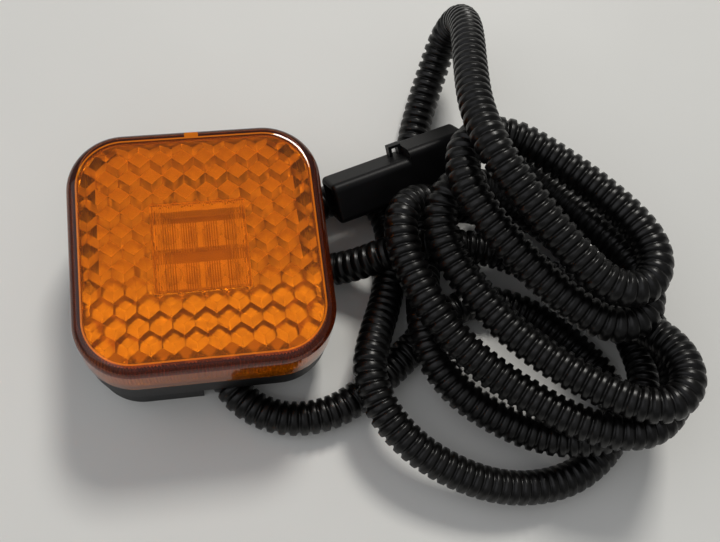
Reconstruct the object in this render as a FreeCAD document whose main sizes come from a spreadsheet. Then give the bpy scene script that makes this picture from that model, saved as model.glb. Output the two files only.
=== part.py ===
import FreeCAD, Part
import math
import os

import Sketcher

# Square amber marker lamp with a lead in corrugated conduit and a two-part connector.
# Frame: millimetres, +Z out of the lens face, the lamp lying face up on its cable outlet.
# The origin is under the centre of the lamp, on the surface that it lies on.

doc = FreeCAD.newDocument("truck_marker_lamp")

SIZES = [
    ("lens_side", 70.0, "lens, width and depth"),
    ("lens_corner", 16.0, "lens, corner radius seen from above"),
    ("lens_height", 14.5, "lens, height of the skirt"),
    ("lens_wall", 2.6, "lens, skirt wall"),
    ("lens_face", 2.6, "lens, face thickness"),
    ("rim_radius", 3.2, "lens, rounding of the face's rim"),
    ("gate_width", 3.8, "lens, flat left by the moulding gate at the rim, width"),
    ("gate_depth", 1.8, "lens, flat left by the moulding gate, reach into the rounding"),
    ("prism_pitch", 6.0, "reflex prisms, distance between neighbours"),
    ("prism_margin", 0.8, "reflex prisms, distance from the skirt's inner wall"),
    ("prism_land", 0.15, "reflex prisms, solid layer between the facets and the face"),
    ("window_side", 26.0, "window in the prism field, clear width"),
    ("flute_count", 39, "window flutes"),
    ("flute_depth", 0.22, "window flutes, depth"),
    ("skirt_flutes", 260, "upright flutes around the inside of the skirt"),
    ("skirt_flute_depth", 0.4, "skirt flutes, depth"),
    ("skirt_flute_land", 0.06, "skirt flutes, solid layer behind their valleys"),
    ("skirt_flute_seat", 0.3, "skirt flutes, how far their ring is sunk into the wall"),
    ("shroud_wall", 1.5, "light shaft, wall"),
    ("fit_gap", 0.2, "clearance of pieces that slide into each other"),
    ("back_height", 10.5, "back of the base above the surface it lies on"),
    ("base_height", 12.0, "base, height"),
    ("base_taper", 2.0, "base, slope of the side walls in degrees"),
    ("base_step", 0.3, "base, setback of its top edge under the lens"),
    ("base_edge", 0.8, "base, rounding of the back edge"),
    ("foot_inset", 1.8, "base, mounting foot, setback from the lens"),
    ("foot_end", 2.8, "base, mounting foot, distance of its end from the lamp's centre line"),
    ("base_wall", 4.6, "base, wall at the top"),
    ("base_floor", 2.5, "base, floor"),
    ("spigot_height", 3.0, "base, locating ring inside the lens skirt, height"),
    ("spigot_wall", 1.8, "base, locating ring, wall"),
    ("boss_diameter", 11.0, "base, bosses under the board"),
    ("boss_rise", 1.5, "base, top of the bosses above the base's top edge"),
    ("boss_inset", 8.1, "base, bosses, distance of their axes from the tray's inner wall"),
    ("fixing_spacing", 40.0, "threaded inserts, distance between centres"),
    ("insert_diameter", 7.0, "threaded insert, outside"),
    ("insert_bore", 4.2, "threaded insert, core hole of the M5 thread"),
    ("insert_length", 9.0, "threaded insert, length"),
    ("board_gap", 2.4, "circuit board, clearance inside the locating ring"),
    ("board_thick", 1.6, "circuit board, thickness"),
    ("led_side", 7.6, "LED package, side"),
    ("led_height", 2.6, "LED package, height of the square body"),
    ("led_dome", 2.5, "LED package, dome radius"),
    ("led_neck", 1.0, "LED package, straight part of the dome"),
    ("led_pitch", 12.0, "LED packages, distance between centres"),
    ("resistor_length", 6.3, "chip resistor, length"),
    ("resistor_width", 3.2, "chip resistor, width"),
    ("resistor_height", 0.8, "chip resistor, height"),
    ("diode_length", 4.4, "diode, length"),
    ("diode_width", 2.7, "diode, width"),
    ("diode_height", 2.2, "diode, height"),
    ("parts_inset", 6.0, "resistors and diode, distance of their row from the board's edge"),
    ("parts_pitch", 10.0, "resistors and diode, distance between centres"),
    ("potting_depth", 4.0, "sealing resin, depth"),
    ("outlet_length", 14.0, "cable outlet, length"),
    ("outlet_width", 15.0, "cable outlet, width"),
    ("outlet_corner", 4.0, "cable outlet, corner radius"),
    ("outlet_wall", 2.5, "cable outlet, solid end in front of its bore"),
    ("outlet_bore", 7.0, "cable outlet, bore"),
    ("outlet_edge", 1.5, "cable outlet, rounding of the lower edge"),
    ("outlet_seal_length", 5.5, "seal in the outlet, length"),
    ("shaft_diameter", 6.0, "wire shaft between base and outlet, diameter"),
    ("wire_diameter", 1.6, "conductor, over its insulation"),
    ("wire_pitch", 2.4, "conductors, distance between centres"),
    ("wire_bend", 2.4, "conductors, bend radius"),
    ("conduit_diameter", 10.0, "corrugated conduit, outside"),
    ("connector_length", 44.5, "connector, length"),
    ("connector_roll", 45.0, "connector, turn about its own axis as it lies, in degrees"),
    ("connector_joint", 19.0, "connector, joint of its halves, from the rear"),
    ("connector_width", 11.5, "connector, width"),
    ("connector_height", 12.8, "connector body, height"),
    ("connector_corner", 2.2, "connector, corner radius"),
    ("connector_edge", 1.2, "connector, rounding of the end edges"),
    ("holder_rise", 2.6, "connector holder, step above the body"),
    ("holder_bore", 7.5, "connector holder, bore"),
    ("holder_wall", 2.0, "connector holder, rear wall"),
    ("neck_length", 3.5, "connector body, neck in the holder, length"),
    ("neck_side", 9.0, "connector body, neck, side"),
    ("neck_corner", 1.5, "connector body, neck, corner radius"),
    ("mouth_width", 8.4, "connector mouth, width"),
    ("mouth_height", 9.6, "connector mouth, height"),
    ("mouth_corner", 1.2, "connector mouth, corner radius"),
    ("mouth_depth", 15.0, "connector mouth, depth"),
    ("lock_thick", 1.4, "secondary lock, thickness"),
    ("lock_length", 9.0, "secondary lock, length"),
    ("latch_length", 4.0, "latch, length"),
    ("latch_width", 2.6, "latch, width"),
    ("latch_rise", 3.2, "latch, height above the body"),
    ("latch_arm", 0.8, "latch, thickness of its arm"),
    ("latch_foot", 1.0, "latch, length of the foot at each end of its arm"),
    ("terminal_diameter", 1.8, "contact pin, diameter"),
    ("terminal_length", 9.0, "contact pin, length in the mouth"),
    ("terminal_pitch", 4.0, "contact pins, distance between centres"),
    ("seal_length", 6.0, "seal in the holder, length"),
    ("seal_bore", 3.6, "seals, bore"),
]

# The conduit's route, from the outlet to the connector: one hand-chosen point for each bend, by stretch.
# The lead loops forward, passes under the lamp and is wound into a loose bundle beside it.
ROUTE = {
    "conduit_lead": [
        (8, 17, 5), (20, 17, 5), (33, 20.5, 5), (45, 25.5, 5), (54, 24.5, 5), (58.5, 15, 5), (57.8, 3, 5),
        (53.8, -11, 6.7), (47, -25, 13.5), (43.5, -36, 16), (47.5, -49.5, 15), (59, -62, 12), (78, -71.5, 9),
        (98, -71.5, 6),
    ],
    "conduit_under_lamp": [
        (112, -64, 5), (119, -54, 5), (117, -41, 5), (107, -28, 5), (96, -18, 5), (83, -13, 5), (70, -17, 5),
        (58, -28, 5), (46, -37, 5), (33, -44, 5), (18, -44, 5), (6, -36, 5), (2, -22, 5), (8, -8, 5),
        (20, -1, 5), (37.5, 0.5, 5),
    ],
    "conduit_turn_1": [
        (46.5, -0.5, 11.2), (55.5, 0.3, 18), (68, 1, 18.2), (82, 0, 16), (95, -6, 16), (106, -16, 18),
        (115, -27, 22), (124.5, -35, 29.5), (128.5, -44, 34.5), (127.5, -52.5, 37.5), (121.5, -58, 38),
        (112, -57, 37),
        (97, -46, 33), (82, -31, 31), (72.5, -15, 31), (68, -5, 32), (67.5, 4, 33.5),
    ],
    "conduit_turn_2": [
        (70.5, 10.5, 35), (76.5, 14, 33), (85, 14, 27.5), (95, 11, 20.5), (106, 3, 15.5), (115, -7, 15),
        (123, -18, 16.5), (129, -31, 19.3), (132, -46, 24), (125, -59, 27), (114, -63.5, 28), (99, -59, 27),
        (84, -47, 24), (70, -34, 25), (61.5, -20, 28), (57.5, -7, 28), (56.5, 2, 28.5),
    ],
    "conduit_turn_3": [
        (58.5, 9, 28), (64, 13.5, 24.5), (72.5, 14, 18.5), (82, 14, 13), (94, 15, 8.5), (106, 11, 6),
        (116, 0, 5), (123, -15, 5), (127, -30, 7), (127, -45, 12), (119, -58, 17), (105, -62, 17),
        (91, -59, 14), (78, -51, 13), (68, -42, 14), (62, -31, 16), (62, -17, 16), (66, -5, 8), (69.5, 10, 5),
        (67.8, 24, 5), (68.5, 38, 5),
    ],
    "conduit_turn_4": [
        (73.5, 52, 6), (79, 64, 11), (83, 72, 18), (86, 73, 27), (85.5, 66, 35), (83, 55, 42), (80, 41, 48),
        (78, 27, 53), (79.5, 13, 56), (86, 1, 54), (96, -14, 51), (104.5, -25, 49), (112, -28.5, 48.5),
        (119, -26, 47.5), (122.5, -18, 46.5), (120, -8, 45), (110, 6, 43), (98, 18, 42),
    ],
    "conduit_tail": [
        (90, 23.5, 42), (82, 24.5, 42.5), (75.5, 20.5, 43.5), (73, 12.5, 45.3), (75, 3, 45.2), (82, -9, 43.5),
        (93, -23, 41), (104.5, -33, 39), (112.5, -35.5, 39), (119.5, -32, 38.5), (122.5, -23.5, 36.5),
        (120, -12, 33), (113.5, 0, 29), (107, 11, 25), (102, 20.5, 21.5), (97.3, 28.8, 18.8),
        (90, 32.9, 18), (82, 30.5, 18),
    ],
}
ARC_SHARE = 0.45

sheet = doc.addObject("Spreadsheet::Sheet", "Sizes")
for row, (alias, value, meaning) in enumerate(SIZES, start=1):
    sheet.set(f"A{row}", meaning)
    sheet.set(f"B{row}", str(value))
    sheet.setAlias(f"B{row}", alias)
doc.recompute()

pieces = []


def number(formula):
    """Value of a formula in the sheet's names."""
    return float(sheet.evalExpression(formula))


def bind(item, bindings):
    """Ties properties of an object to formulas in the sheet's names."""
    for prop, formula in bindings.items():
        item.setExpression(prop, formula)


def piece(item, label):
    """Names a finished sub-part and puts it on the list that is written out."""
    item.Label = label
    pieces.append(item)
    return item


def new_body(name):
    return doc.addObject("PartDesign::Body", name)


def plane_of(body, role):
    return [f for f in body.Origin.OriginFeatures if f.Role == role][0]


def attach(body, item, offset, role="XY_Plane"):
    """Seats a sketch or primitive on an origin plane, moved by formulas for x, y and z."""
    item.AttachmentSupport = [(plane_of(body, role), "")]
    item.MapMode = "FlatFace"
    bind(item, {f"AttachmentOffset.Base.{axis}": formula for axis, formula in zip("xyz", offset)})
    return item


def rounded_sketch(body, name, width, depth, radius, offset, role="XY_Plane"):
    """Rectangle with four equal corner arcs, centred on the sketch's origin."""
    sketch = attach(body, body.newObject("Sketcher::SketchObject", name), offset, role)
    x, y, r = number(width) / 2, number(depth) / 2, number(radius)
    corners = [(x - r, r - y, -90), (x - r, y - r, 0), (r - x, y - r, 90), (r - x, r - y, 180)]
    ends = [
        ((r - x, -y), (x - r, -y)),
        ((x, r - y), (x, y - r)),
        ((x - r, y), (r - x, y)),
        ((-x, y - r), (-x, r - y)),
    ]
    for start, end in ends:
        sketch.addGeometry(Part.LineSegment(FreeCAD.Vector(*start, 0), FreeCAD.Vector(*end, 0)), False)
    for cx, cy, turn in corners:
        circle = Part.Circle(FreeCAD.Vector(cx, cy, 0), FreeCAD.Vector(0, 0, 1), r)
        arc = Part.ArcOfCircle(circle, math.radians(turn), math.radians(turn + 90))
        sketch.addGeometry(arc, False)
    for side in range(4):
        sketch.addConstraint(Sketcher.Constraint("Tangent", side, 2, side + 4, 1))
        sketch.addConstraint(Sketcher.Constraint("Tangent", side + 4, 2, (side + 1) % 4, 1))
    for side, kind in enumerate(("Horizontal", "Vertical", "Horizontal", "Vertical")):
        sketch.addConstraint(Sketcher.Constraint(kind, side))
    for arc in (5, 6, 7):
        sketch.addConstraint(Sketcher.Constraint("Equal", 4, arc))
    sketch.addConstraint(Sketcher.Constraint("Symmetric", 0, 1, 2, 1, -1, 1))
    for label, constraint, formula in (
        ("width", Sketcher.Constraint("DistanceX", 3, 1, 1, 1, 2 * x), width),
        ("depth", Sketcher.Constraint("DistanceY", 0, 1, 2, 1, 2 * y), depth),
        ("radius", Sketcher.Constraint("Radius", 4, r), radius),
    ):
        sketch.renameConstraint(sketch.addConstraint(constraint), label)
        sketch.setExpression(f"Constraints.{label}", formula)
    return sketch


def pad(body, name, sketch, length, taper=None):
    feature = body.newObject("PartDesign::Pad", name)
    feature.Profile = sketch
    bind(feature, {"Length": length})
    if taper:
        bind(feature, {"TaperAngle": taper})
    doc.recompute()
    return feature


def pocket(body, name, sketch, length, upward):
    """Cuts a sketch into the body, along its normal if upward, and checks that material went."""
    before = body.Shape.Volume
    feature = body.newObject("PartDesign::Pocket", name)
    feature.Profile = sketch
    feature.Reversed = upward
    bind(feature, {"Length": length})
    doc.recompute()
    assert body.Shape.Volume < before, f"{name} cuts nothing"
    return feature


def cylinder(body, name, kind, radius, height, offset, role="XY_Plane"):
    """Round boss or hole of a body; kind is Additive or Subtractive."""
    feature = attach(body, body.newObject(f"PartDesign::{kind}Cylinder", name), offset, role)
    bind(feature, {"Radius": radius, "Height": height})
    doc.recompute()
    return feature


def box(body, name, kind, size, offset):
    """Block or slot of a body; kind is Additive or Subtractive."""
    feature = attach(body, body.newObject(f"PartDesign::{kind}Box", name), offset)
    bind(feature, dict(zip(("Length", "Width", "Height"), size)))
    doc.recompute()
    return feature


def edges_where(feature, test):
    """Names of a feature's edges whose points all pass a test."""
    names = []
    for i, edge in enumerate(feature.Shape.Edges, start=1):
        if all(test(p) for p in edge.discretize(5)):
            names.append(f"Edge{i}")
    return names


def fillet(body, name, base, names, radius):
    feature = body.newObject("PartDesign::Fillet", name)
    feature.Base = (base, names)
    bind(feature, {"Radius": radius})
    doc.recompute()
    return feature


def part(kind, name, sizes, place=()):
    """Part primitive with its sizes, and its place as formulas for x, y and z."""
    item = doc.addObject(f"Part::{kind}", name)
    bind(item, sizes)
    bind(item, {f"Placement.Base.{axis}": formula for axis, formula in zip("xyz", place)})
    return item


def cut(name, base, tool):
    item = doc.addObject("Part::Cut", name)
    item.Base = base
    item.Tool = tool
    return item


def fuse(name, shapes):
    item = doc.addObject("Part::MultiFuse", name)
    item.Shapes = shapes
    return item


def near(value, formula):
    return abs(value - number(formula)) < 1e-4


# Levels above the surface
BASE_TOP = "Sizes.back_height + Sizes.base_height"
LENS_TOP = f"{BASE_TOP} + Sizes.lens_height"
FACE_UNDER = f"{LENS_TOP} - Sizes.lens_face"
FLOOR_TOP = "Sizes.back_height + Sizes.base_floor"
BOARD_UNDER = f"{BASE_TOP} + Sizes.boss_rise"
BOARD_TOP = f"{BOARD_UNDER} + Sizes.board_thick"
CONDUIT_AXIS = "Sizes.conduit_diameter / 2"

# Base: tray with a locating ring for the lens and four board bosses, on a foot that takes the fixing inserts
outlet_end, outlet_line, _ = ROUTE["conduit_lead"][0]
taper_inset = "Sizes.base_height * tan(Sizes.base_taper * 1 deg)"
base_top_side = "Sizes.lens_side - 2 * Sizes.base_step"
base_back_side = f"{base_top_side} - 2 * {taper_inset}"
base_back_corner = f"Sizes.lens_corner - Sizes.base_step - {taper_inset}"
foot_side = "Sizes.lens_side - 2 * Sizes.foot_inset"
foot_corner = "Sizes.lens_corner - Sizes.foot_inset"
notch_end = f"{outlet_end} - Sizes.outlet_length - Sizes.fit_gap"
notch_edge = f"{outlet_line} - Sizes.outlet_width / 2 - Sizes.fit_gap"
tray_side = "Sizes.lens_side - 2 * Sizes.base_wall - 2 * Sizes.base_step"
tray_corner = "Sizes.lens_corner - Sizes.base_wall - Sizes.base_step"
spigot_side = "Sizes.lens_side - 2 * Sizes.lens_wall - 2 * Sizes.fit_gap"
spigot_corner = "Sizes.lens_corner - Sizes.lens_wall - Sizes.fit_gap"
ring_side = f"{spigot_side} - 2 * Sizes.spigot_wall"
ring_corner = f"{spigot_corner} - Sizes.spigot_wall"
boss_offset = f"(({tray_side}) / 2 - Sizes.boss_inset)"
boss_points = [(f"{sx} * {boss_offset}", f"{sy} * {boss_offset}") for sx in (-1, 1) for sy in (-1, 1)]
insert_x = f"({notch_end} - ({foot_side}) / 2) / 2"
insert_points = [(insert_x, "Sizes.fixing_spacing / 2"), (insert_x, "-Sizes.fixing_spacing / 2")]
bore_end = f"{outlet_end} - Sizes.outlet_length + Sizes.outlet_wall"
shaft_x = f"{bore_end} + Sizes.shaft_diameter / 2 + Sizes.fit_gap"
shaft_y = f"{outlet_line}"

base = new_body("Base")
back_place = ("0", "0", "Sizes.back_height")
top_place = ("0", "0", BASE_TOP)
tray = rounded_sketch(base, "BackOutline", base_back_side, base_back_side, base_back_corner, back_place)
tray_pad = pad(base, "Tray", tray, "Sizes.base_height", "Sizes.base_taper")
back_edges = edges_where(tray_pad, lambda p: near(p.z, "Sizes.back_height"))
fillet(base, "BackEdge", tray_pad, back_edges, "Sizes.base_edge")
foot = rounded_sketch(base, "FootOutline", foot_side, foot_side, foot_corner, ("0", "0", "0"))
pad(base, "Foot", foot, "Sizes.back_height")
space = ("Sizes.lens_side", "Sizes.lens_side", "Sizes.back_height")
box(base, "ConduitSpace", "Subtractive", space, ("-Sizes.foot_end", "-Sizes.lens_side / 2", "0"))
box(base, "OutletSpace", "Subtractive", space, (notch_end, notch_edge, "0"))
ring = rounded_sketch(base, "RingOutline", spigot_side, spigot_side, spigot_corner, top_place)
pad(base, "Ring", ring, "Sizes.spigot_height")
ring_hole = rounded_sketch(base, "RingHole", ring_side, ring_side, ring_corner, top_place)
pocket(base, "RingBore", ring_hole, "Sizes.spigot_height", True)
hollow = rounded_sketch(base, "Hollow", tray_side, tray_side, tray_corner, top_place)
pocket(base, "TrayHollow", hollow, "Sizes.base_height - Sizes.base_floor", False)
for i, (boss_x, boss_y) in enumerate(boss_points, start=1):
    boss_height = "Sizes.base_height - Sizes.base_floor + Sizes.boss_rise"
    boss_place = (boss_x, boss_y, FLOOR_TOP)
    cylinder(base, f"Boss{i}", "Additive", "Sizes.boss_diameter / 2", boss_height, boss_place)
for i, (hole_x, hole_y) in enumerate(insert_points, start=1):
    hole_place = (hole_x, hole_y, "0")
    hole_radius = "Sizes.insert_diameter / 2"
    cylinder(base, f"InsertHole{i}", "Subtractive", hole_radius, "Sizes.insert_length", hole_place)
shaft_place = (shaft_x, shaft_y, "Sizes.back_height")
cylinder(base, "WireHole", "Subtractive", "Sizes.shaft_diameter / 2", "Sizes.base_floor", shaft_place)
piece(base, "base")

# Threaded inserts, flush with the foot's face
for i, (hole_x, hole_y) in enumerate(insert_points, start=1):
    sleeve_size = {"Radius": "Sizes.insert_diameter / 2", "Height": "Sizes.insert_length"}
    core_size = {"Radius": "Sizes.insert_bore / 2", "Height": "Sizes.insert_length"}
    sleeve = part("Cylinder", f"InsertSleeve{i}", sleeve_size, (hole_x, hole_y, "0"))
    core = part("Cylinder", f"InsertCore{i}", core_size, (hole_x, hole_y, "0"))
    piece(cut(f"Insert{i}", sleeve, core), f"insert_{i}")

# Lens shell: square cap with a rounded rim, which the moulding gate leaves square at one place
shell = new_body("LensShell")
cap_side = "Sizes.lens_side"
cap = rounded_sketch(shell, "CapOutline", cap_side, cap_side, "Sizes.lens_corner", top_place)
cap_pad = pad(shell, "Cap", cap, "Sizes.lens_height")
rim_edges = edges_where(cap_pad, lambda p: near(p.z, LENS_TOP))
fillet(shell, "Rim", cap_pad, rim_edges, "Sizes.rim_radius")
gate_size = ("Sizes.gate_width", "Sizes.gate_depth", "Sizes.gate_depth")
gate_place = (
    "-Sizes.gate_width / 2", "Sizes.lens_side / 2 - Sizes.rim_radius", f"{LENS_TOP} - Sizes.gate_depth",
)
box(shell, "Gate", "Additive", gate_size, gate_place)
cavity_side = "Sizes.lens_side - 2 * Sizes.lens_wall"
cavity_corner = "Sizes.lens_corner - Sizes.lens_wall"
cavity = rounded_sketch(shell, "CavityOutline", cavity_side, cavity_side, cavity_corner, top_place)
pocket(shell, "Cavity", cavity, "Sizes.lens_height - Sizes.lens_face", True)


def cube_field(pitch, reach, low, high):
    """Solid whose underside is an array of full cube corners standing on their body diagonals.

    Cell centres form a triangular lattice. Each cell has its apex at the low level, and its six corners
    rise by one and two thirds of the cube's diagonal in turn, so three square cube faces meet at the apex.
    """
    radius = pitch / math.sqrt(3)
    step = pitch / math.sqrt(6)
    row_pitch = pitch * math.sqrt(3) / 2
    rows = math.ceil(reach / row_pitch)
    columns = math.ceil(reach / pitch) + 1
    faces = []
    border = {}
    for row in range(-rows, rows + 1):
        for column in range(-columns, columns + 1):
            cx = (column + 0.5 * (row % 2)) * pitch
            cy = row * row_pitch
            ring = []
            for k in range(6):
                angle = math.radians(30 + 60 * k)
                x = cx + radius * math.cos(angle)
                y = cy + radius * math.sin(angle)
                ring.append(FreeCAD.Vector(x, y, low + step * (1 + k % 2)))
            apex = FreeCAD.Vector(cx, cy, low)
            for k in (1, 3, 5):
                corners = [apex, ring[k - 1], ring[k], ring[(k + 1) % 6], apex]
                faces.append(Part.Face(Part.makePolygon(corners)))
            for k in range(6):
                start, end = ring[k], ring[(k + 1) % 6]
                key = (round(start.x, 4), round(start.y, 4))
                far = (round(end.x, 4), round(end.y, 4))
                if border.pop((far, key), None) is None:
                    border[(key, far)] = (start, end)
    following = {key: (far, ends) for (key, far), ends in border.items()}
    first = next(iter(following))
    key = first
    outline = []
    while True:
        far, (start, end) = following[key]
        over_start = FreeCAD.Vector(start.x, start.y, high)
        over_end = FreeCAD.Vector(end.x, end.y, high)
        faces.append(Part.Face(Part.makePolygon([start, end, over_end, over_start, start])))
        outline.append(over_start)
        key = far
        if key == first:
            break
    faces.append(Part.Face(Part.makePolygon(outline + [outline[0]])))
    solid = Part.makeSolid(Part.makeShell(faces))
    return solid if solid.Volume > 0 else solid.reversed()


def fluted_plate(count, width, depth, low, high):
    """Plate with a row of V flutes on its underside, running along Y: a zigzag profile, extruded."""
    pitch = width / count
    profile = [FreeCAD.Vector(-width / 2, -width / 2, high)]
    for i in range(count):
        left = -width / 2 + i * pitch
        profile.append(FreeCAD.Vector(left, -width / 2, low + depth))
        profile.append(FreeCAD.Vector(left + pitch / 2, -width / 2, low))
    profile.append(FreeCAD.Vector(width / 2, -width / 2, low + depth))
    profile.append(FreeCAD.Vector(width / 2, -width / 2, high))
    profile.append(profile[0])
    return Part.Face(Part.makePolygon(profile)).extrude(FreeCAD.Vector(0, width, 0))


def rounded_square(side, radius, count):
    """Places at even distances along a square with rounded corners, each with its outward direction."""
    straight = side - 2 * radius
    quarter = straight + radius * math.pi / 2
    places = []
    for i in range(count):
        turns, along = divmod(4 * quarter * i / count, quarter)
        angle = max(0, along - straight) / radius
        out = FreeCAD.Vector(math.cos(angle), math.sin(angle), 0)
        centre = FreeCAD.Vector(straight / 2, min(along, straight) - straight / 2, 0)
        swing = FreeCAD.Rotation(FreeCAD.Vector(0, 0, 1), 90 * turns)
        places.append((swing.multVec(centre + out * radius), swing.multVec(out)))
    return places


def fluted_ring(side, radius, count, depth, land, seat, low, high):
    """Ring whose inner wall is a row of upright V flutes and whose outer wall is sunk into the skirt."""
    outer = []
    for place, out in rounded_square(side, radius, count // 2):
        outer.append(place + out * seat + FreeCAD.Vector(0, 0, low))
    inner = []
    for i, (place, out) in enumerate(rounded_square(side, radius, 2 * count)):
        inner.append(place - out * (land + depth * (i % 2)) + FreeCAD.Vector(0, 0, low))
    rise = FreeCAD.Vector(0, 0, high - low)
    block = Part.Face(Part.makePolygon(outer + outer[:1])).extrude(rise)
    return block.cut(Part.Face(Part.makePolygon(inner + inner[:1])).extrude(rise))


# Reflex field: cube corners under the face, trimmed to the skirt and to the window
face_under = number(FACE_UNDER)
lens_middle = face_under + number("Sizes.lens_face") / 2
prism_land = number("Sizes.prism_land")
prism_drop = 2 * number("Sizes.prism_pitch") / math.sqrt(6)
prism_apex = face_under - prism_land - prism_drop
cubes = doc.addObject("Part::Feature", "Cubes")
cubes.Shape = cube_field(number("Sizes.prism_pitch"), number("Sizes.lens_side") / 2, prism_apex, lens_middle)
field_side = f"{cavity_side} - 2 * Sizes.prism_margin"
field_corner = f"{cavity_corner} - Sizes.prism_margin"
trim = new_body("FieldTrim")
trim_outline = rounded_sketch(trim, "FieldOutline", field_side, field_side, field_corner, top_place)
pad(trim, "FieldBlock", trim_outline, "Sizes.lens_height")
opening_size = {"Length": "Sizes.window_side", "Width": "Sizes.window_side", "Height": "Sizes.lens_height"}
opening_place = ("-Sizes.window_side / 2", "-Sizes.window_side / 2", BASE_TOP)
opening = part("Box", "FieldOpening", opening_size, opening_place)
trimmed = doc.addObject("Part::Common", "TrimmedCubes")
trimmed.Base = cubes
trimmed.Tool = trim
field = cut("ReflexField", trimmed, opening)

flutes = doc.addObject("Part::Feature", "WindowFlutes")
flute_width = number("Sizes.window_side - 2 * Sizes.fit_gap")
flute_low = face_under - prism_land - number("Sizes.flute_depth")
flutes.Shape = fluted_plate(
    round(number("Sizes.flute_count")), flute_width, number("Sizes.flute_depth"), flute_low, lens_middle
)
skirt_ring = doc.addObject("Part::Feature", "SkirtFlutes")
skirt_ring.Shape = fluted_ring(
    number(cavity_side), number(cavity_corner), round(number("Sizes.skirt_flutes")),
    number("Sizes.skirt_flute_depth"), number("Sizes.skirt_flute_land"), number("Sizes.skirt_flute_seat"),
    number(f"{BASE_TOP} + Sizes.spigot_height + Sizes.fit_gap"), lens_middle,
)
piece(fuse("Lens", [shell, field, flutes, skirt_ring]), "lens")

# Light shaft around the LEDs, from the board to just under the prisms
shroud_top = f"{FACE_UNDER} - Sizes.prism_land - 2 * Sizes.prism_pitch / sqrt(6) - Sizes.fit_gap"
shroud_height = f"{shroud_top} - ({BOARD_TOP})"
shroud_side = "Sizes.window_side + 2 * Sizes.shroud_wall"
shroud_place = (f"-({shroud_side}) / 2", f"-({shroud_side}) / 2", BOARD_TOP)
shroud_size = {"Length": shroud_side, "Width": shroud_side, "Height": shroud_height}
shroud_outer = part("Box", "ShroudOuter", shroud_size, shroud_place)
clear_place = ("-Sizes.window_side / 2", "-Sizes.window_side / 2", BOARD_TOP)
clear_size = {"Length": "Sizes.window_side", "Width": "Sizes.window_side", "Height": shroud_height}
shroud_clear = part("Box", "ShroudClear", clear_size, clear_place)
piece(cut("Shroud", shroud_outer, shroud_clear), "window_shroud")

# Circuit board with its LEDs, resistors and diode
board = new_body("Board")
board_side = f"{ring_side} - 2 * Sizes.board_gap"
board_corner = f"{ring_corner} - Sizes.board_gap"
board_place = ("0", "0", BOARD_UNDER)
board_outline = rounded_sketch(board, "BoardOutline", board_side, board_side, board_corner, board_place)
pad(board, "BoardPlate", board_outline, "Sizes.board_thick")
piece(board, "circuit_board")

led_points = [("-1", "1"), ("1", "1"), ("-1", "-1"), ("1", "-1")]
for i, (sx, sy) in enumerate(led_points, start=1):
    cx, cy = f"{sx} * Sizes.led_pitch / 2", f"{sy} * Sizes.led_pitch / 2"
    square = {"Length": "Sizes.led_side", "Width": "Sizes.led_side", "Height": "Sizes.led_height"}
    package_place = (f"{cx} - Sizes.led_side / 2", f"{cy} - Sizes.led_side / 2", BOARD_TOP)
    package = part("Box", f"LedPackage{i}", square, package_place)
    stem = {"Radius": "Sizes.led_dome", "Height": "Sizes.led_height + Sizes.led_neck"}
    neck = part("Cylinder", f"LedNeck{i}", stem, (cx, cy, BOARD_TOP))
    dome_place = (cx, cy, f"{BOARD_TOP} + Sizes.led_height + Sizes.led_neck")
    dome = part("Sphere", f"LedDome{i}", {"Radius": "Sizes.led_dome"}, dome_place)
    dome.Angle1 = 0
    piece(fuse(f"Led{i}", [package, neck, dome]), f"led_{i}")

chips = [
    ("Resistor1", "resistor_1", "resistor", "-1"),
    ("Resistor2", "resistor_2", "resistor", "0"),
    ("Diode", "diode", "diode", "1"),
]
for name, label, kind, slot in chips:
    chip_size = {
        "Length": f"Sizes.{kind}_length", "Width": f"Sizes.{kind}_width", "Height": f"Sizes.{kind}_height",
    }
    chip_x = f"{slot} * Sizes.parts_pitch - Sizes.{kind}_length / 2"
    chip_y = f"Sizes.parts_inset - ({board_side}) / 2 - Sizes.{kind}_width / 2"
    piece(part("Box", name, chip_size, (chip_x, chip_y, BOARD_TOP)), label)

# Cable outlet on the back: side exit for the conduit, with a wire shaft up into the base
outlet_middle = f"{outlet_end} - Sizes.outlet_length / 2"
outlet = new_body("Outlet")
outlet_outline = rounded_sketch(
    outlet, "OutletOutline", "Sizes.outlet_length", "Sizes.outlet_width", "Sizes.outlet_corner",
    (outlet_middle, f"{outlet_line}", "0"),
)
outlet_pad = pad(outlet, "OutletBlock", outlet_outline, "Sizes.back_height")
outlet_edges = edges_where(outlet_pad, lambda p: abs(p.z) < 1e-4)
fillet(outlet, "OutletEdge", outlet_pad, outlet_edges, "Sizes.outlet_edge")
bore_length = "Sizes.outlet_length - Sizes.outlet_wall"
bore_place = (f"{outlet_line}", CONDUIT_AXIS, f"{outlet_end} - ({bore_length})")
cylinder(outlet, "OutletBore", "Subtractive", "Sizes.outlet_bore / 2", bore_length, bore_place, "YZ_Plane")
riser_place = (shaft_x, shaft_y, CONDUIT_AXIS)
cylinder(outlet, "WireShaft", "Subtractive", "Sizes.shaft_diameter / 2", "Sizes.back_height", riser_place)
piece(outlet, "outlet")


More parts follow.
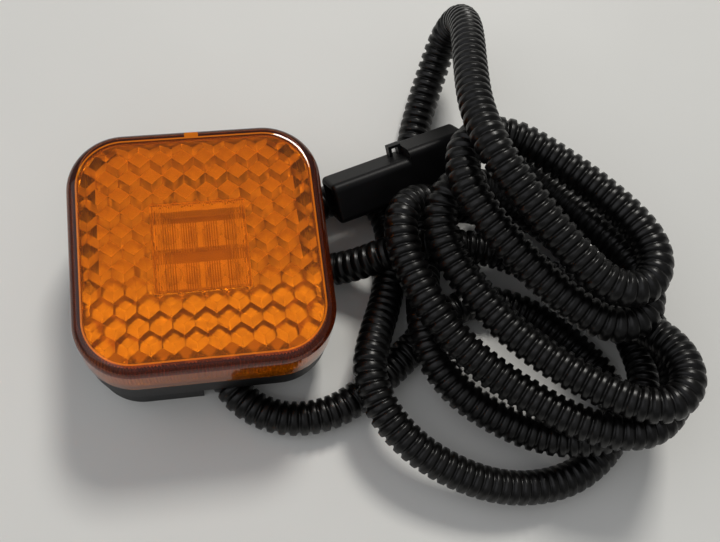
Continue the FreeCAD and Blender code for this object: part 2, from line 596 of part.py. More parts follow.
def rounded_path(points):
    """Straight runs joined by tangent arcs, each arc as large as its two runs allow.

    Returns the edges that belong to each point, the place where each run is halved, and the radii.
    """
    spots = [FreeCAD.Vector(*p) for p in points]
    halves = [(a + b) * 0.5 for a, b in zip(spots, spots[1:])]
    groups = []
    radii = []
    for i in range(1, len(spots) - 1):
        before, spot, after = spots[i - 1 : i + 2]
        into = (spot - before).normalize()
        out = (after - spot).normalize()
        turn = into.getAngle(out)
        reach = ARC_SHARE * min((spot - before).Length, (after - spot).Length)
        radius = reach / math.tan(turn / 2)
        bisector = (out - into).normalize()
        middle = spot + bisector * (radius / math.cos(turn / 2) - radius)
        start = spot - into * reach
        end = spot + out * reach
        come = halves[i - 1] if i > 1 else before
        leave = halves[i] if i < len(spots) - 2 else after
        groups.append([
            Part.LineSegment(come, start).toShape(),
            Part.Arc(start, middle, end).toShape(),
            Part.LineSegment(end, leave).toShape(),
        ])
        radii.append(radius)
    return groups, radii


def tube(edges, radius):
    """Round solid along a smooth path, checked against its section times its length."""
    path = Part.Wire(edges)
    start = path.Edges[0].valueAt(path.Edges[0].FirstParameter)
    heading = path.Edges[0].tangentAt(path.Edges[0].FirstParameter)
    profile = Part.Wire(Part.makeCircle(radius, start, heading))
    solid = path.makePipeShell([profile], True, False)
    expected = math.pi * radius**2 * path.Length
    assert abs(solid.Volume - expected) < 0.01 * expected, (solid.Volume, expected)
    return solid


# Conductors: down from the board through the wire shaft, and along the outlet to the conduit
for name, label, side in (("WireSupply", "wire_supply", 1), ("WireEarth", "wire_earth", -1)):
    wire_y = outlet_line + side * number("Sizes.wire_pitch") / 2
    wire_x = number(shaft_x)
    wire_z = number(CONDUIT_AXIS)
    bend = number("Sizes.wire_bend")
    edge = bend * (1 - math.sqrt(0.5))
    top = FreeCAD.Vector(wire_x, wire_y, number(BOARD_UNDER))
    turn_start = FreeCAD.Vector(wire_x, wire_y, wire_z + bend)
    turn_middle = FreeCAD.Vector(wire_x + edge, wire_y, wire_z + edge)
    turn_end = FreeCAD.Vector(wire_x + bend, wire_y, wire_z)
    far_end = FreeCAD.Vector(outlet_end, wire_y, wire_z)
    wire = doc.addObject("Part::Feature", name)
    wire.Shape = tube(
        [
            Part.LineSegment(top, turn_start).toShape(),
            Part.Arc(turn_start, turn_middle, turn_end).toShape(),
            Part.LineSegment(turn_end, far_end).toShape(),
        ],
        number("Sizes.wire_diameter") / 2,
    )
    piece(wire, label)

# Seal in the outlet's bore, moulded around the conductors
seal_place = (f"{outlet_end} - Sizes.outlet_seal_length", f"{outlet_line}", CONDUIT_AXIS)
sleeve_size = {"Radius": "Sizes.outlet_bore / 2", "Height": "Sizes.outlet_seal_length"}
sleeve = part("Cylinder", "OutletSleeve", sleeve_size, seal_place)
sleeve.Placement.Rotation = FreeCAD.Rotation(FreeCAD.Vector(0, 1, 0), 90)
ways = []
for side in ("-1", "1"):
    way_line = f"{outlet_line} + {side} * Sizes.wire_pitch / 2"
    way_place = (f"{outlet_end} - Sizes.outlet_seal_length", way_line, CONDUIT_AXIS)
    way_size = {"Radius": "Sizes.wire_diameter / 2", "Height": "Sizes.outlet_seal_length"}
    way = part("Cylinder", f"WireWay{len(ways) + 1}", way_size, way_place)
    way.Placement.Rotation = FreeCAD.Rotation(FreeCAD.Vector(0, 1, 0), 90)
    ways.append(way)
piece(cut("OutletSeal", sleeve, fuse("WireWays", ways)), "outlet_seal")

# Sealing resin on the floor of the base, around the bosses and the conductors
resin = new_body("Resin")
floor_place = ("0", "0", FLOOR_TOP)
resin_outline = rounded_sketch(resin, "ResinOutline", tray_side, tray_side, tray_corner, floor_place)
pad(resin, "ResinLayer", resin_outline, "Sizes.potting_depth")
for i, (boss_x, boss_y) in enumerate(boss_points, start=1):
    place = (boss_x, boss_y, FLOOR_TOP)
    cylinder(resin, f"BossHole{i}", "Subtractive", "Sizes.boss_diameter / 2", "Sizes.potting_depth", place)
for i, side in enumerate(("-1", "1"), start=1):
    place = (shaft_x, f"{shaft_y} + {side} * Sizes.wire_pitch / 2", FLOOR_TOP)
    cylinder(resin, f"ResinWire{i}", "Subtractive", "Sizes.wire_diameter / 2", "Sizes.potting_depth", place)
piece(resin, "potting")

# Conduit: one tube for each stretch of the route, meeting its neighbours end to end
names = [name for name, points in ROUTE.items() for _ in points]
groups, radii = rounded_path([p for points in ROUTE.values() for p in points])
print("conduit radii", " ".join(f"{r:.1f}" for r in radii))
for name in ROUTE:
    edges = [edge for owner, group in zip(names[1:-1], groups) if owner == name for edge in group]
    stretch = doc.addObject("Part::Feature", name.title().replace("_", ""))
    stretch.Shape = tube(edges, number(CONDUIT_AXIS))
    piece(stretch, name)

# Connector, in its own frame: X runs from the mating end to the conduit, which enters at X = 0
rear_from, rear = [FreeCAD.Vector(*p) for p in ROUTE["conduit_tail"][-2:]]
axis = rear_from - rear
yaw = FreeCAD.Rotation(FreeCAD.Vector(0, 0, 1), math.degrees(math.atan2(axis.y, axis.x)))
roll = FreeCAD.Rotation(FreeCAD.Vector(1, 0, 0), -number("Sizes.connector_roll"))
connector_turn = yaw.multiply(roll)


def on_connector(item, forward="0", side="0", up="0"):
    """Places a piece of the connector by formulas for its distances along the connector's own axes."""
    ahead = connector_turn.multVec(FreeCAD.Vector(1, 0, 0))
    across = connector_turn.multVec(FreeCAD.Vector(0, 1, 0))
    over = connector_turn.multVec(FreeCAD.Vector(0, 0, 1))
    item.Placement = FreeCAD.Placement(rear, connector_turn)
    for axis in "xyz":
        start, along, beside, above = [getattr(v, axis) for v in (rear, ahead, across, over)]
        formula = f"{start} + ({forward}) * ({along}) + ({side}) * ({beside}) + ({up}) * ({above})"
        item.setExpression(f"Placement.Base.{axis}", formula)
    return item


holder_height = "Sizes.connector_height + Sizes.holder_rise"
front_length = "Sizes.connector_length - Sizes.connector_joint"
mouth_floor = "-Sizes.connector_length + Sizes.mouth_depth"

body = new_body("ConnectorBody")
body_outline = rounded_sketch(
    body, "BodyOutline", "Sizes.connector_width", "Sizes.connector_height", "Sizes.connector_corner",
    ("0", "0", "-Sizes.connector_length"), "YZ_Plane",
)
body_pad = pad(body, "BodyBlock", body_outline, front_length)
front_edges = edges_where(body_pad, lambda p: near(p.x, "-Sizes.connector_length"))
fillet(body, "FrontEdge", body_pad, front_edges, "Sizes.connector_edge")
neck_outline = rounded_sketch(
    body, "NeckOutline", "Sizes.neck_side", "Sizes.neck_side", "Sizes.neck_corner",
    ("0", "0", "-Sizes.connector_joint"), "YZ_Plane",
)
pad(body, "Neck", neck_outline, "Sizes.neck_length")
mouth_outline = rounded_sketch(
    body, "MouthOutline", "Sizes.mouth_width", "Sizes.mouth_height", "Sizes.mouth_corner",
    ("0", "0", "-Sizes.connector_length"), "YZ_Plane",
)
pocket(body, "Mouth", mouth_outline, "Sizes.mouth_depth", True)
piece(on_connector(body), "connector_body")

holder = new_body("ConnectorHolder")
holder_outline = rounded_sketch(
    holder, "HolderOutline", "Sizes.connector_width", holder_height, "Sizes.connector_corner",
    ("0", "0", "-Sizes.connector_joint"), "YZ_Plane",
)
holder_pad = pad(holder, "HolderBlock", holder_outline, "Sizes.connector_joint")
rear_edges = edges_where(holder_pad, lambda p: abs(p.x) < 1e-4)
fillet(holder, "RearEdge", holder_pad, rear_edges, "Sizes.connector_edge")
socket_side = "Sizes.neck_side + 2 * Sizes.fit_gap"
socket_outline = rounded_sketch(
    holder, "SocketOutline", socket_side, socket_side, "Sizes.neck_corner + Sizes.fit_gap",
    ("0", "-Sizes.holder_rise / 2", "-Sizes.connector_joint"), "YZ_Plane",
)
pocket(holder, "Socket", socket_outline, "Sizes.neck_length", True)
holder_bore_length = "Sizes.connector_joint - Sizes.neck_length - Sizes.holder_wall"
holder_bore_place = ("0", "-Sizes.holder_rise / 2", "-Sizes.connector_joint + Sizes.neck_length")
bore_radius = "Sizes.holder_bore / 2"
cylinder(holder, "HolderBore", "Subtractive", bore_radius, holder_bore_length, holder_bore_place, "YZ_Plane")
piece(on_connector(holder, up="Sizes.holder_rise / 2"), "connector_holder")

lengthwise = FreeCAD.Rotation(FreeCAD.Vector(0, 1, 0), 90)


def along_connector(item, forward, side="0"):
    """Lays a cylinder along the connector's axis, starting at a distance from the conduit's end."""
    on_connector(item, forward, side)
    item.Placement.Rotation = connector_turn.multiply(lengthwise)
    return item


seal_from = "-Sizes.holder_wall - Sizes.seal_length"
seal_sleeve = part("Cylinder", "HolderSleeve", {"Radius": bore_radius, "Height": "Sizes.seal_length"})
seal_core = part("Cylinder", "HolderCore", {"Radius": "Sizes.seal_bore / 2", "Height": "Sizes.seal_length"})
along_connector(seal_sleeve, seal_from)
along_connector(seal_core, seal_from)
piece(cut("ConnectorSeal", seal_sleeve, seal_core), "connector_seal")

for name, label, side in (("PinSupply", "terminal_supply", "0.5"), ("PinEarth", "terminal_earth", "-0.5")):
    pin = part("Cylinder", name, {"Radius": "Sizes.terminal_diameter / 2", "Height": "Sizes.terminal_length"})
    along_connector(pin, f"{mouth_floor} - Sizes.terminal_length", f"{side} * Sizes.terminal_pitch")
    piece(pin, label)

lock_width = "Sizes.mouth_width - 2 * Sizes.mouth_corner"
lock_over = "Sizes.mouth_height / 2 - Sizes.lock_thick"
lock = part("Box", "Lock", {"Length": "Sizes.lock_length", "Width": lock_width, "Height": "Sizes.lock_thick"})
on_connector(lock, f"{mouth_floor} - Sizes.lock_length", f"-({lock_width}) / 2", lock_over)
piece(lock, "connector_lock")

# Latch: an arm on two feet, along one edge of the body's upper side
latch_from = "-Sizes.connector_joint - Sizes.latch_length"
latch_side = "Sizes.connector_width / 2 - Sizes.connector_corner - Sizes.latch_width"
latch_under = "Sizes.connector_height / 2"
latch_size = {"Length": "Sizes.latch_length", "Width": "Sizes.latch_width", "Height": "Sizes.latch_rise"}
slot_size = {
    "Length": "Sizes.latch_length - 2 * Sizes.latch_foot",
    "Width": "Sizes.latch_width",
    "Height": "Sizes.latch_rise - Sizes.latch_arm",
}
latch_block = part("Box", "LatchBlock", latch_size)
latch_slot = part("Box", "LatchSlot", slot_size)
on_connector(latch_block, latch_from, latch_side, latch_under)
on_connector(latch_slot, f"{latch_from} + Sizes.latch_foot", latch_side, latch_under)
piece(cut("Latch", latch_block, latch_slot), "connector_latch")

doc.recompute()
for item in doc.Objects:
    assert not {"Invalid", "Error"} & set(item.State), (item.Name, item.State)
for item in pieces:
    assert not item.Shape.isNull() and item.Shape.isValid(), item.Label
    assert len(item.Shape.Solids) == 1, (item.Label, len(item.Shape.Solids))

os.makedirs("parts", exist_ok=True)
for item in pieces:
    item.Shape.exportStep(f"parts/{item.Label}.step")
    print(item.Label, f"{item.Shape.Volume:.1f} mm3")
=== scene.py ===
import math

import bpy
import numpy as np
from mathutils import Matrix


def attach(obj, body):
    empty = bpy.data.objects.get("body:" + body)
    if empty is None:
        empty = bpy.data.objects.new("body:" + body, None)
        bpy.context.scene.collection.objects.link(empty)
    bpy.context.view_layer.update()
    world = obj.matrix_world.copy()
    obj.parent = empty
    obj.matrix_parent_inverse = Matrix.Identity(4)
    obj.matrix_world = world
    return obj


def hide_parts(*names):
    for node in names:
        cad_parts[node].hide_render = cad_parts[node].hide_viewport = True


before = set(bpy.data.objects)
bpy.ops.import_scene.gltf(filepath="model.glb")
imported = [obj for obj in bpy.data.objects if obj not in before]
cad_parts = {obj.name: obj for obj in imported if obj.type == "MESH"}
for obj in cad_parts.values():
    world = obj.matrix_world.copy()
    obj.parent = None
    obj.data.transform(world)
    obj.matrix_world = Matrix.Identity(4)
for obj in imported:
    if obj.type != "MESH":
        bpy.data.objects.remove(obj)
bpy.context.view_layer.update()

# Square amber marker lamp on a pale table, with its lead in corrugated conduit. Sizes are in millimetres.
MM = 0.001

# Conduit: outside and root diameter, distance between its rings, and how finely it is drawn
CONDUIT_OUTSIDE = 10.0
CONDUIT_ROOT = 8.1
RING_PITCH = 2.85
SLICES_PER_RING = 8
SIDES = 18

# A ring's profile, from 0 in its middle to 1 in the groove: how far its top reaches, and how wide its flank is
RING_TOP = 0.45
RING_FLANK = 0.4

# Lens outline and wall
LENS_SIDE = 70.0
LENS_CORNER = 16.0
LENS_WALL = 2.6
WINDOW_SIDE = 26.0
RIM_RADIUS = 3.2

# How the lens faces are told apart, by the upward part of their normals and by the share of the wall they lie behind
LEVEL_RISE = 0.99
UPPER_RISE = 0.3
RIM_RISE = 0.05
SIDE_RISE = -0.1
WALL_SHARE = 0.96

# Share of the light that passes the lens, by place: the rest is scattered by the haze of the moulded surface
FACE_CLEAR = 0.96
PRISM_CLEAR = 0.87
FLUTE_CLEAR = 0.97
SKIRT_CLEAR = 0.8
RIM_CLEAR = 0.87
EDGE_CLEAR = 0.4

# Table: half its side in metres
TABLE_HALF = 1.6

# Room: its light on the scene, how bright it is behind the camera, the way there, and the cosines where that begins
# and is full
ROOM_LIGHT = 0.22
ROOM_SHADE = 0.8
SHADE_WAY = (0, -0.37, 0.93)
SHADE_START = 0.82
SHADE_FULL = 0.97

# Point that the lamps are turned to, in metres
LIT_PLACE = (0.03, 0, 0.02)

# Camera: place in metres and angles in degrees, found from the square face, which it sees from the front and above
CAMERA_PLACE = (0.0026, -0.102, 0.2904)
CAMERA_ANGLES = (20.34, -6.17, -7.55)

# The conduit's route from the cable outlet to the connector, one point for each bend
ROUTE = np.array([
    (8, 17, 5), (20, 17, 5), (33, 20.5, 5), (45, 25.5, 5), (54, 24.5, 5), (58.5, 15, 5), (57.8, 3, 5),
    (53.8, -11, 6.7), (47, -25, 13.5), (43.5, -36, 16), (47.5, -49.5, 15), (59, -62, 12), (78, -71.5, 9),
    (98, -71.5, 6),
    (112, -64, 5), (119, -54, 5), (117, -41, 5), (107, -28, 5), (96, -18, 5), (83, -13, 5), (70, -17, 5),
    (58, -28, 5), (46, -37, 5), (33, -44, 5), (18, -44, 5), (6, -36, 5), (2, -22, 5), (8, -8, 5), (20, -1, 5),
    (37.5, 0.5, 5),
    (46.5, -0.5, 11.2), (55.5, 0.3, 18), (68, 1, 18.2), (82, 0, 16), (95, -6, 16), (106, -16, 18),
    (115, -27, 22), (124.5, -35, 29.5), (128.5, -44, 34.5), (127.5, -52.5, 37.5), (121.5, -58, 38),
    (112, -57, 37), (97, -46, 33), (82, -31, 31), (72.5, -15, 31), (68, -5, 32), (67.5, 4, 33.5),
    (70.5, 10.5, 35), (76.5, 14, 33), (85, 14, 27.5), (95, 11, 20.5), (106, 3, 15.5), (115, -7, 15),
    (123, -18, 16.5), (129, -31, 19.3), (132, -46, 24), (125, -59, 27), (114, -63.5, 28), (99, -59, 27),
    (84, -47, 24), (70, -34, 25), (61.5, -20, 28), (57.5, -7, 28), (56.5, 2, 28.5),
    (58.5, 9, 28), (64, 13.5, 24.5), (72.5, 14, 18.5), (82, 14, 13), (94, 15, 8.5), (106, 11, 6), (116, 0, 5),
    (123, -15, 5), (127, -30, 7), (127, -45, 12), (119, -58, 17), (105, -62, 17), (91, -59, 14),
    (78, -51, 13), (68, -42, 14), (62, -31, 16), (62, -17, 16), (66, -5, 8), (69.5, 10, 5), (67.8, 24, 5),
    (68.5, 38, 5),
    (73.5, 52, 6), (79, 64, 11), (83, 72, 18), (86, 73, 27), (85.5, 66, 35), (83, 55, 42), (80, 41, 48),
    (78, 27, 53), (79.5, 13, 56), (86, 1, 54), (96, -14, 51), (104.5, -25, 49), (112, -28.5, 48.5),
    (119, -26, 47.5), (122.5, -18, 46.5), (120, -8, 45), (110, 6, 43), (98, 18, 42),
    (90, 23.5, 42), (82, 24.5, 42.5), (75.5, 20.5, 43.5), (73, 12.5, 45.3), (75, 3, 45.2), (82, -9, 43.5),
    (93, -23, 41), (104.5, -33, 39), (112.5, -35.5, 39), (119.5, -32, 38.5), (122.5, -23.5, 36.5),
    (120, -12, 33), (113.5, 0, 29), (107, 11, 25), (102, 20.5, 21.5), (97.3, 28.8, 18.8), (90, 32.9, 18),
    (82, 30.5, 18),
]) * MM

CONDUIT_NODES = [
    "conduit_lead", "conduit_under_lamp", "conduit_turn_1", "conduit_turn_2", "conduit_turn_3", "conduit_turn_4",
    "conduit_tail",
]


def linear(code):
    """sRGB hex colour as linear red, green, blue and alpha.

    Up to 0.04045 a value is divided by 12.92. Above that, 0.055 is added, and the sum is divided by 1.055 and raised
    to the power of 2.4.
    """
    values = [int(code[i:i + 2], 16) / 255 for i in (1, 3, 5)]
    return [v / 12.92 if v <= 0.04045 else ((v + 0.055) / 1.055) ** 2.4 for v in values] + [1.0]


def add(tree, kind, inputs=None, **settings):
    """Adds a node, sets its properties, and fills each named input with a value or links it to an output."""
    node = tree.nodes.new(kind)
    for name, value in settings.items():
        setattr(node, name, value)
    for key, value in (inputs or {}).items():
        if isinstance(value, bpy.types.NodeSocket):
            tree.links.new(value, node.inputs[key])
        else:
            node.inputs[key].default_value = value
    return node


def new_material(name):
    """Empty material with an output node."""
    made = bpy.data.materials.new(name)
    made.use_nodes = True
    made.node_tree.nodes.clear()
    return made, made.node_tree, add(made.node_tree, "ShaderNodeOutputMaterial")


def grain(tree, size_mm, detail=3.0):
    """Noise on Object coordinates whose lumps are about size_mm across."""
    place = add(tree, "ShaderNodeTexCoord")
    return add(tree, "ShaderNodeTexNoise", {
        "Vector": place.outputs["Object"], "Scale": 1 / (size_mm * MM), "Detail": detail, "Roughness": 0.55,
    })


def moulded_plastic(name, dark, light, roughness, grain_mm, relief_mm, specular=0.5):
    """Moulded plastic: two close tones in soft clouds, and a fine grain from the mould in relief and gloss."""
    made, tree, output = new_material(name)
    clouds = grain(tree, 9.0)
    tone = add(tree, "ShaderNodeValToRGB", {"Fac": clouds.outputs["Fac"]})
    tone.color_ramp.elements[0].position = 0.35
    tone.color_ramp.elements[0].color = linear(dark)
    tone.color_ramp.elements[1].position = 0.7
    tone.color_ramp.elements[1].color = linear(light)
    skin = grain(tree, grain_mm)
    gloss = add(tree, "ShaderNodeMapRange", {
        "Value": skin.outputs["Fac"], "To Min": roughness - 0.06, "To Max": roughness + 0.06,
    })
    relief = add(tree, "ShaderNodeBump", {"Height": skin.outputs["Fac"], "Strength": 0.5, "Distance": relief_mm * MM})
    shader = add(tree, "ShaderNodeBsdfPrincipled", {
        "Base Color": tone.outputs["Color"], "Roughness": gloss.outputs["Result"], "Normal": relief.outputs["Normal"],
        "IOR": 1.5, "Specular IOR Level": specular,
    })
    tree.links.new(shader.outputs["BSDF"], output.inputs["Surface"])
    return made


def mark_skin(mesh):
    """Marks the lens faces: skin is 1 outside, rim is 1 on the rounded edge, clear is the share of light that passes.

    The outside is where the distance to the outline, a square with rounded corners, is less than the wall. That
    distance is the length of what the place exceeds the corners' centres by, less the corner radius. The flat of the
    moulding gate and the start of the rounding are level faces nearer to the outline than the rim's radius.
    """
    count = len(mesh.polygons)
    normal = np.empty(3 * count)
    centre = np.empty(3 * count)
    mesh.polygons.foreach_get("normal", normal)
    mesh.polygons.foreach_get("center", centre)
    rise = normal.reshape(-1, 3)[:, 2]
    excess = np.abs(centre.reshape(-1, 3)[:, :2]) - (LENS_SIDE / 2 - LENS_CORNER) * MM
    inside = np.minimum(excess.max(axis=1), 0)
    distance = np.linalg.norm(np.maximum(excess, 0), axis=1) + inside - LENS_CORNER * MM
    within = distance < -WALL_SHARE * LENS_WALL * MM
    skin = (rise > UPPER_RISE) | (~within & (rise > SIDE_RISE))
    rim = (rise > RIM_RISE) & (rise < LEVEL_RISE)
    window = np.abs(centre.reshape(-1, 3)[:, :2]).max(axis=1) < WINDOW_SIDE / 2 * MM
    level = rise > LEVEL_RISE
    edge = level & (distance > -RIM_RADIUS * MM)
    clear = np.select(
        [edge, level, rim & skin, within & window, within],
        [EDGE_CLEAR, FACE_CLEAR, RIM_CLEAR, FLUTE_CLEAR, PRISM_CLEAR], SKIRT_CLEAR,
    )
    for name, values in (("skin", skin), ("rim", rim), ("clear", clear)):
        mark = mesh.attributes.new(name, "FLOAT", "FACE")
        mark.data.foreach_set("value", values.astype(np.float32))


def amber_acrylic():
    """Polished amber PMMA: orange skin, dark red-brown rim (partly painted shade), and nearly clear prisms and flutes
    with a slight haze.
    """
    made, tree, output = new_material("Polished amber PMMA")
    skin = add(tree, "ShaderNodeAttribute", attribute_name="skin")
    clear = add(tree, "ShaderNodeAttribute", attribute_name="clear")
    rim = add(tree, "ShaderNodeAttribute", attribute_name="rim")
    thin = add(tree, "ShaderNodeMix", {
        0: skin.outputs["Fac"], 6: linear("#FFF2DC"), 7: linear("#FF880A"),
    }, data_type="RGBA")
    # Rim tint: dark red-brown, partly the deeper path through the rounded wall and partly painted shade for the rim's
    # dark look
    tint = add(tree, "ShaderNodeMix", {
        0: rim.outputs["Fac"], 6: thin.outputs[2], 7: linear("#8A3008"),
    }, data_type="RGBA")
    wave = grain(tree, 6.0, 1.0)
    relief = add(tree, "ShaderNodeBump", {"Height": wave.outputs["Fac"], "Strength": 0.25, "Distance": 0.05 * MM})
    shader = add(tree, "ShaderNodeBsdfPrincipled", {
        "Base Color": tint.outputs[2], "Roughness": 0.04, "IOR": 1.49, "Transmission Weight": clear.outputs["Fac"],
        "Normal": relief.outputs["Normal"],
    })
    tree.links.new(shader.outputs["BSDF"], output.inputs["Surface"])
    return made


def solder_mask():
    """White solder mask on glass epoxy: pale all over, with the epoxy's tan left bare around the LEDs."""
    made, tree, output = new_material("White solder mask on glass epoxy")
    place = add(tree, "ShaderNodeTexCoord")
    parts = add(tree, "ShaderNodeSeparateXYZ", {0: place.outputs["Object"]})
    along = add(tree, "ShaderNodeMath", {0: parts.outputs["X"]}, operation="ABSOLUTE")
    beside = add(tree, "ShaderNodeMath", {0: parts.outputs["Y"]}, operation="ABSOLUTE")
    out = add(tree, "ShaderNodeMath", {0: along.outputs["Value"], 1: beside.outputs["Value"]}, operation="MAXIMUM")
    mask = add(tree, "ShaderNodeMapRange", {
        "Value": out.outputs["Value"], "From Min": 0.48 * WINDOW_SIDE * MM, "From Max": 0.5 * WINDOW_SIDE * MM,
    })
    tone = add(tree, "ShaderNodeMix", {
        0: mask.outputs["Result"], 6: linear("#C8B88C"), 7: linear("#F5F3EC"),
    }, data_type="RGBA")
    skin = grain(tree, 0.8)
    gloss = add(tree, "ShaderNodeMapRange", {"Value": skin.outputs["Fac"], "To Min": 0.3, "To Max": 0.42})
    shader = add(tree, "ShaderNodeBsdfPrincipled", {
        "Base Color": tone.outputs[2], "Roughness": gloss.outputs["Result"], "IOR": 1.5,
    })
    tree.links.new(shader.outputs["BSDF"], output.inputs["Surface"])
    return made


def turned_metal(name, tone_dark, tone_light, roughness):
    """Small turned metal piece: tone and gloss vary in fine spots."""
    made, tree, output = new_material(name)
    spots = grain(tree, 0.6)
    tone = add(tree, "ShaderNodeValToRGB", {"Fac": spots.outputs["Fac"]})
    tone.color_ramp.elements[0].color = linear(tone_dark)
    tone.color_ramp.elements[1].color = linear(tone_light)
    gloss = add(tree, "ShaderNodeMapRange", {
        "Value": spots.outputs["Fac"], "To Min": roughness - 0.08, "To Max": roughness + 0.08,
    })
    shader = add(tree, "ShaderNodeBsdfPrincipled", {
        "Base Color": tone.outputs["Color"], "Metallic": 1.0, "Roughness": gloss.outputs["Result"],
    })
    tree.links.new(shader.outputs["BSDF"], output.inputs["Surface"])
    return made


def finish_nodes(names, made):
    """Gives CAD nodes a material."""
    for name in names:
        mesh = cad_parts[name].data
        mesh.materials.clear()
        mesh.materials.append(made)


def new_piece(name, points, quads, made):
    """Mesh object at the origin from arrays of points and quads, smooth-shaded, riding on the lamp."""
    mesh = bpy.data.meshes.new(name)
    mesh.from_pydata(points, [], quads)
    mesh.polygons.foreach_set("use_smooth", np.ones(len(mesh.polygons), bool))
    mesh.materials.append(made)
    mesh.update()
    item = bpy.data.objects.new(name, mesh)
    bpy.context.collection.objects.link(item)
    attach(item, "root")
    return item


def smooth_line(points):
    """Points along the smooth line of a route: a NURBS spline of order 3 with the route's points as its controls."""
    curve = bpy.data.curves.new("route", "CURVE")
    curve.dimensions = "3D"
    spline = curve.splines.new("NURBS")
    spline.points.add(len(points) - 1)
    spline.points.foreach_set("co", np.column_stack([points, np.ones(len(points))]).ravel())
    spline.order_u = 3
    spline.use_endpoint_u = True
    spline.resolution_u = 16
    holder = bpy.data.objects.new("route", curve)
    mesh = bpy.data.meshes.new_from_object(holder)
    line = np.empty(3 * len(mesh.vertices))
    mesh.vertices.foreach_get("co", line)
    bpy.data.objects.remove(holder)
    bpy.data.meshes.remove(mesh)
    bpy.data.curves.remove(curve)
    return line.reshape(-1, 3)


def even_line(line, count):
    """The line at count evenly spaced places, by linear interpolation over its running length, and that length."""
    run = np.concatenate([[0], np.cumsum(np.linalg.norm(np.diff(line, axis=0), axis=1))])
    along = np.linspace(0, run[-1], count)
    return np.column_stack([np.interp(along, run, line[:, k]) for k in range(3)]), along


def corrugated_tube(line):
    """Closed tube whose radius goes up and down along it.

    With u the distance from the middle of a ring, from 0 there to 1 in the groove, the radius is the outside one
    up to the ring's top, falls along a smooth step over its flank, and is the root one from there. The step is three
    times the square less twice the cube. Each slice is a circle in the plane across the line, set out from the level
    direction across it.
    """
    length = np.linalg.norm(np.diff(line, axis=0), axis=1).sum()
    rings = round(length / (RING_PITCH * MM))
    count = rings * SLICES_PER_RING + 1
    centres, along = even_line(line, count)
    tangent = np.gradient(centres, axis=0)
    tangent /= np.linalg.norm(tangent, axis=1, keepdims=True)
    across = np.cross(tangent, [0, 0, 1])
    across /= np.linalg.norm(across, axis=1, keepdims=True)
    over = np.cross(across, tangent)
    u = np.abs(2 * (along / length * rings % 1) - 1)
    fall = np.clip((u - RING_TOP) / RING_FLANK, 0, 1)
    fall = fall * fall * (3 - 2 * fall)
    radius = MM * (CONDUIT_OUTSIDE * (1 - fall) + CONDUIT_ROOT * fall) / 2
    turn = np.linspace(0, 2 * math.pi, SIDES, endpoint=False)
    circle = np.cos(turn)[None, :, None] * across[:, None] + np.sin(turn)[None, :, None] * over[:, None]
    points = centres[:, None] + radius[:, None, None] * circle
    start = np.arange(count - 1)[:, None] * SIDES
    near = start + np.arange(SIDES)
    beside = start + (np.arange(SIDES) + 1) % SIDES
    quads = np.stack([near, beside, beside + SIDES, near + SIDES], axis=-1).reshape(-1, 4).tolist()
    caps = [list(range(SIDES))[::-1], list(range((count - 1) * SIDES, count * SIDES))]
    return points.reshape(-1, 3), quads + caps, centres, length


# Finishes
lens_finish = amber_acrylic()
housing_finish = moulded_plastic("Moulded black ABS, satin", "#09090A", "#111112", 0.45, 0.5, 0.02, 0.2)
conduit_finish = moulded_plastic("Extruded black polyamide conduit", "#050505", "#0B0A0A", 0.32, 1.2, 0.01, 0.32)
connector_finish = moulded_plastic("Spark-grained black PBT", "#070708", "#0E0D0F", 0.45, 0.35, 0.03, 0.2)
shroud_finish = moulded_plastic("Moulded white ABS", "#F1EEE6", "#F9F7F1", 0.4, 0.6, 0.01)
board_finish = solder_mask()
led_finish = moulded_plastic("LED package of pale epoxy", "#FBF7EA", "#FFFCF4", 0.15, 1.5, 0.005)
chip_finish = moulded_plastic("Moulded black epoxy", "#141414", "#222120", 0.45, 0.3, 0.01)
supply_finish = moulded_plastic("Red PVC insulation", "#8C1712", "#A3201A", 0.4, 0.5, 0.01)
earth_finish = moulded_plastic("Brown PVC insulation", "#4A2A16", "#5C3720", 0.4, 0.5, 0.01)
resin_finish = moulded_plastic("Cast black potting resin", "#101010", "#1D1C1B", 0.2, 4.0, 0.05)
seal_finish = moulded_plastic("Grey silicone rubber", "#55544F", "#66655F", 0.6, 0.5, 0.02)
lock_finish = moulded_plastic("Moulded grey PBT", "#6A6963", "#7A7972", 0.45, 0.4, 0.02)
brass_finish = turned_metal("Turned brass", "#A98546", "#C7A565", 0.32)
tin_finish = turned_metal("Tinned brass", "#A7A39A", "#C9C5BC", 0.3)

mark_skin(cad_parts["lens"].data)
finish_nodes(["lens"], lens_finish)
finish_nodes(["base", "outlet"], housing_finish)
finish_nodes(["window_shroud"], shroud_finish)
finish_nodes(["circuit_board"], board_finish)
finish_nodes(["led_1", "led_2", "led_3", "led_4"], led_finish)
finish_nodes(["resistor_1", "resistor_2", "diode"], chip_finish)
finish_nodes(["wire_supply"], supply_finish)
finish_nodes(["wire_earth"], earth_finish)
finish_nodes(["potting"], resin_finish)
finish_nodes(["outlet_seal", "connector_seal"], seal_finish)
finish_nodes(["insert_1", "insert_2"], brass_finish)
finish_nodes(["terminal_supply", "terminal_earth"], tin_finish)
finish_nodes(["connector_body", "connector_holder", "connector_latch"], connector_finish)
finish_nodes(["connector_lock"], lock_finish)
finish_nodes(CONDUIT_NODES, conduit_finish)

# Corrugated conduit
tube_points, tube_faces, tube_line, tube_length = corrugated_tube(smooth_line(ROUTE))
conduit = new_piece("conduit", tube_points.tolist(), tube_faces, conduit_finish)
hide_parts(*CONDUIT_NODES)


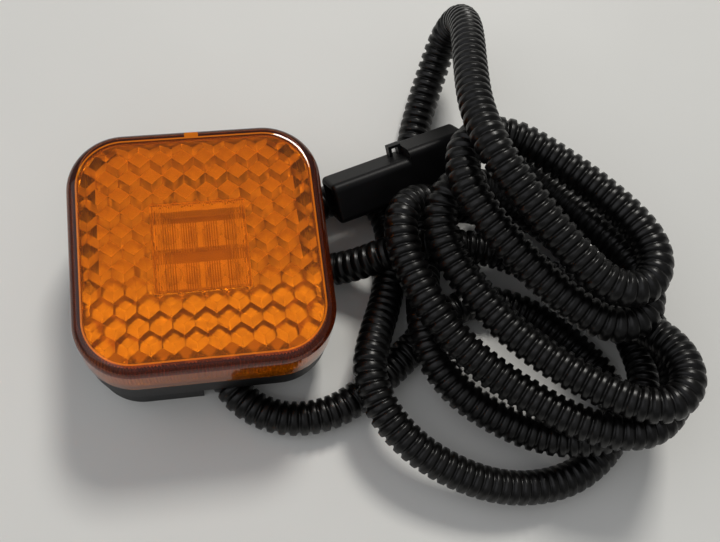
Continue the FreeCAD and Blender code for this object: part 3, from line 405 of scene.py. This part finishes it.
def pale_table():
    """Pale laminate table top: light grey, with a soft sheen and very faint clouds."""
    made, tree, output = new_material("Pale laminate")
    clouds = grain(tree, 60.0)
    tone = add(tree, "ShaderNodeValToRGB", {"Fac": clouds.outputs["Fac"]})
    tone.color_ramp.elements[0].color = linear("#DDDDDA")
    tone.color_ramp.elements[1].color = linear("#E3E3E0")
    shader = add(tree, "ShaderNodeBsdfPrincipled", {
        "Base Color": tone.outputs["Color"], "Roughness": 0.5, "IOR": 1.45, "Specular IOR Level": 0.3,
    })
    tree.links.new(shader.outputs["BSDF"], output.inputs["Surface"])
    return made


# Table
table_mesh = bpy.data.meshes.new("table")
table_corners = [(x * TABLE_HALF, y * TABLE_HALF, 0) for x, y in ((-1, -1), (1, -1), (1, 1), (-1, 1))]
table_mesh.from_pydata(table_corners, [], [(0, 1, 2, 3)])
table_mesh.materials.append(pale_table())
table = bpy.data.objects.new("table", table_mesh)
bpy.context.collection.objects.link(table)

# Light: a pale room that is less bright behind the camera, a soft box behind the lamp on the right, and wide weaker
# ones around the camera and on the left
world = bpy.data.worlds.new("Room")
bpy.context.scene.world = world
world.use_nodes = True
room = world.node_tree
room.nodes.clear()
rays = add(room, "ShaderNodeLightPath")
seen = add(room, "ShaderNodeMath", {
    0: rays.outputs["Is Camera Ray"], 1: rays.outputs["Is Transmission Ray"],
}, operation="MAXIMUM")
way = add(room, "ShaderNodeTexCoord")
facing = add(room, "ShaderNodeVectorMath", {
    0: way.outputs["Generated"], 1: SHADE_WAY,
}, operation="DOT_PRODUCT")
shade = add(room, "ShaderNodeMapRange", {
    "Value": facing.outputs["Value"], "From Min": SHADE_START, "From Max": SHADE_FULL, "To Min": 1.0,
    "To Max": ROOM_SHADE,
})
level = add(room, "ShaderNodeMapRange", {
    "Value": seen.outputs["Value"], "To Min": ROOM_LIGHT, "To Max": shade.outputs["Result"],
})
sky = add(room, "ShaderNodeBackground", {"Color": linear("#F6F6F4"), "Strength": level.outputs["Result"]})
add(room, "ShaderNodeOutputWorld", {"Surface": sky.outputs["Background"]})


def soft_box(name, place, side, power, colour):
    """Square area lamp at a place in metres, turned towards the lit place."""
    data = bpy.data.lights.new(name, "AREA")
    data.shape = "SQUARE"
    data.size = side
    data.energy = power
    data.color = linear(colour)[:3]
    lamp = bpy.data.objects.new(name, data)
    lamp.location = place
    direction = np.array(LIT_PLACE) - np.array(place)
    flat = math.hypot(direction[0], direction[1])
    lamp.rotation_euler = (math.atan2(flat, -direction[2]), 0, math.atan2(direction[1], direction[0]) - math.pi / 2)
    bpy.context.collection.objects.link(lamp)


soft_box("key", (0.47, 1.17, 1.6), 0.45, 20.7, "#FFFCF6")
soft_box("fill", (0.0, -0.75, 1.7), 2.4, 3.6, "#F8F9FF")
soft_box("side", (-1.2, 0.1, 1.5), 2.0, 8.6, "#F8F9FF")

# Camera at the photograph's place
camera_data = bpy.data.cameras.new("camera")
camera_data.lens = 50
camera_data.sensor_width = 36
camera_data.clip_start = 0.01
camera = bpy.data.objects.new("camera", camera_data)
camera.location = CAMERA_PLACE
camera.rotation_euler = [math.radians(a) for a in CAMERA_ANGLES]
bpy.context.collection.objects.link(camera)
bpy.context.scene.camera = camera
bpy.context.scene.view_settings.view_transform = "Standard"
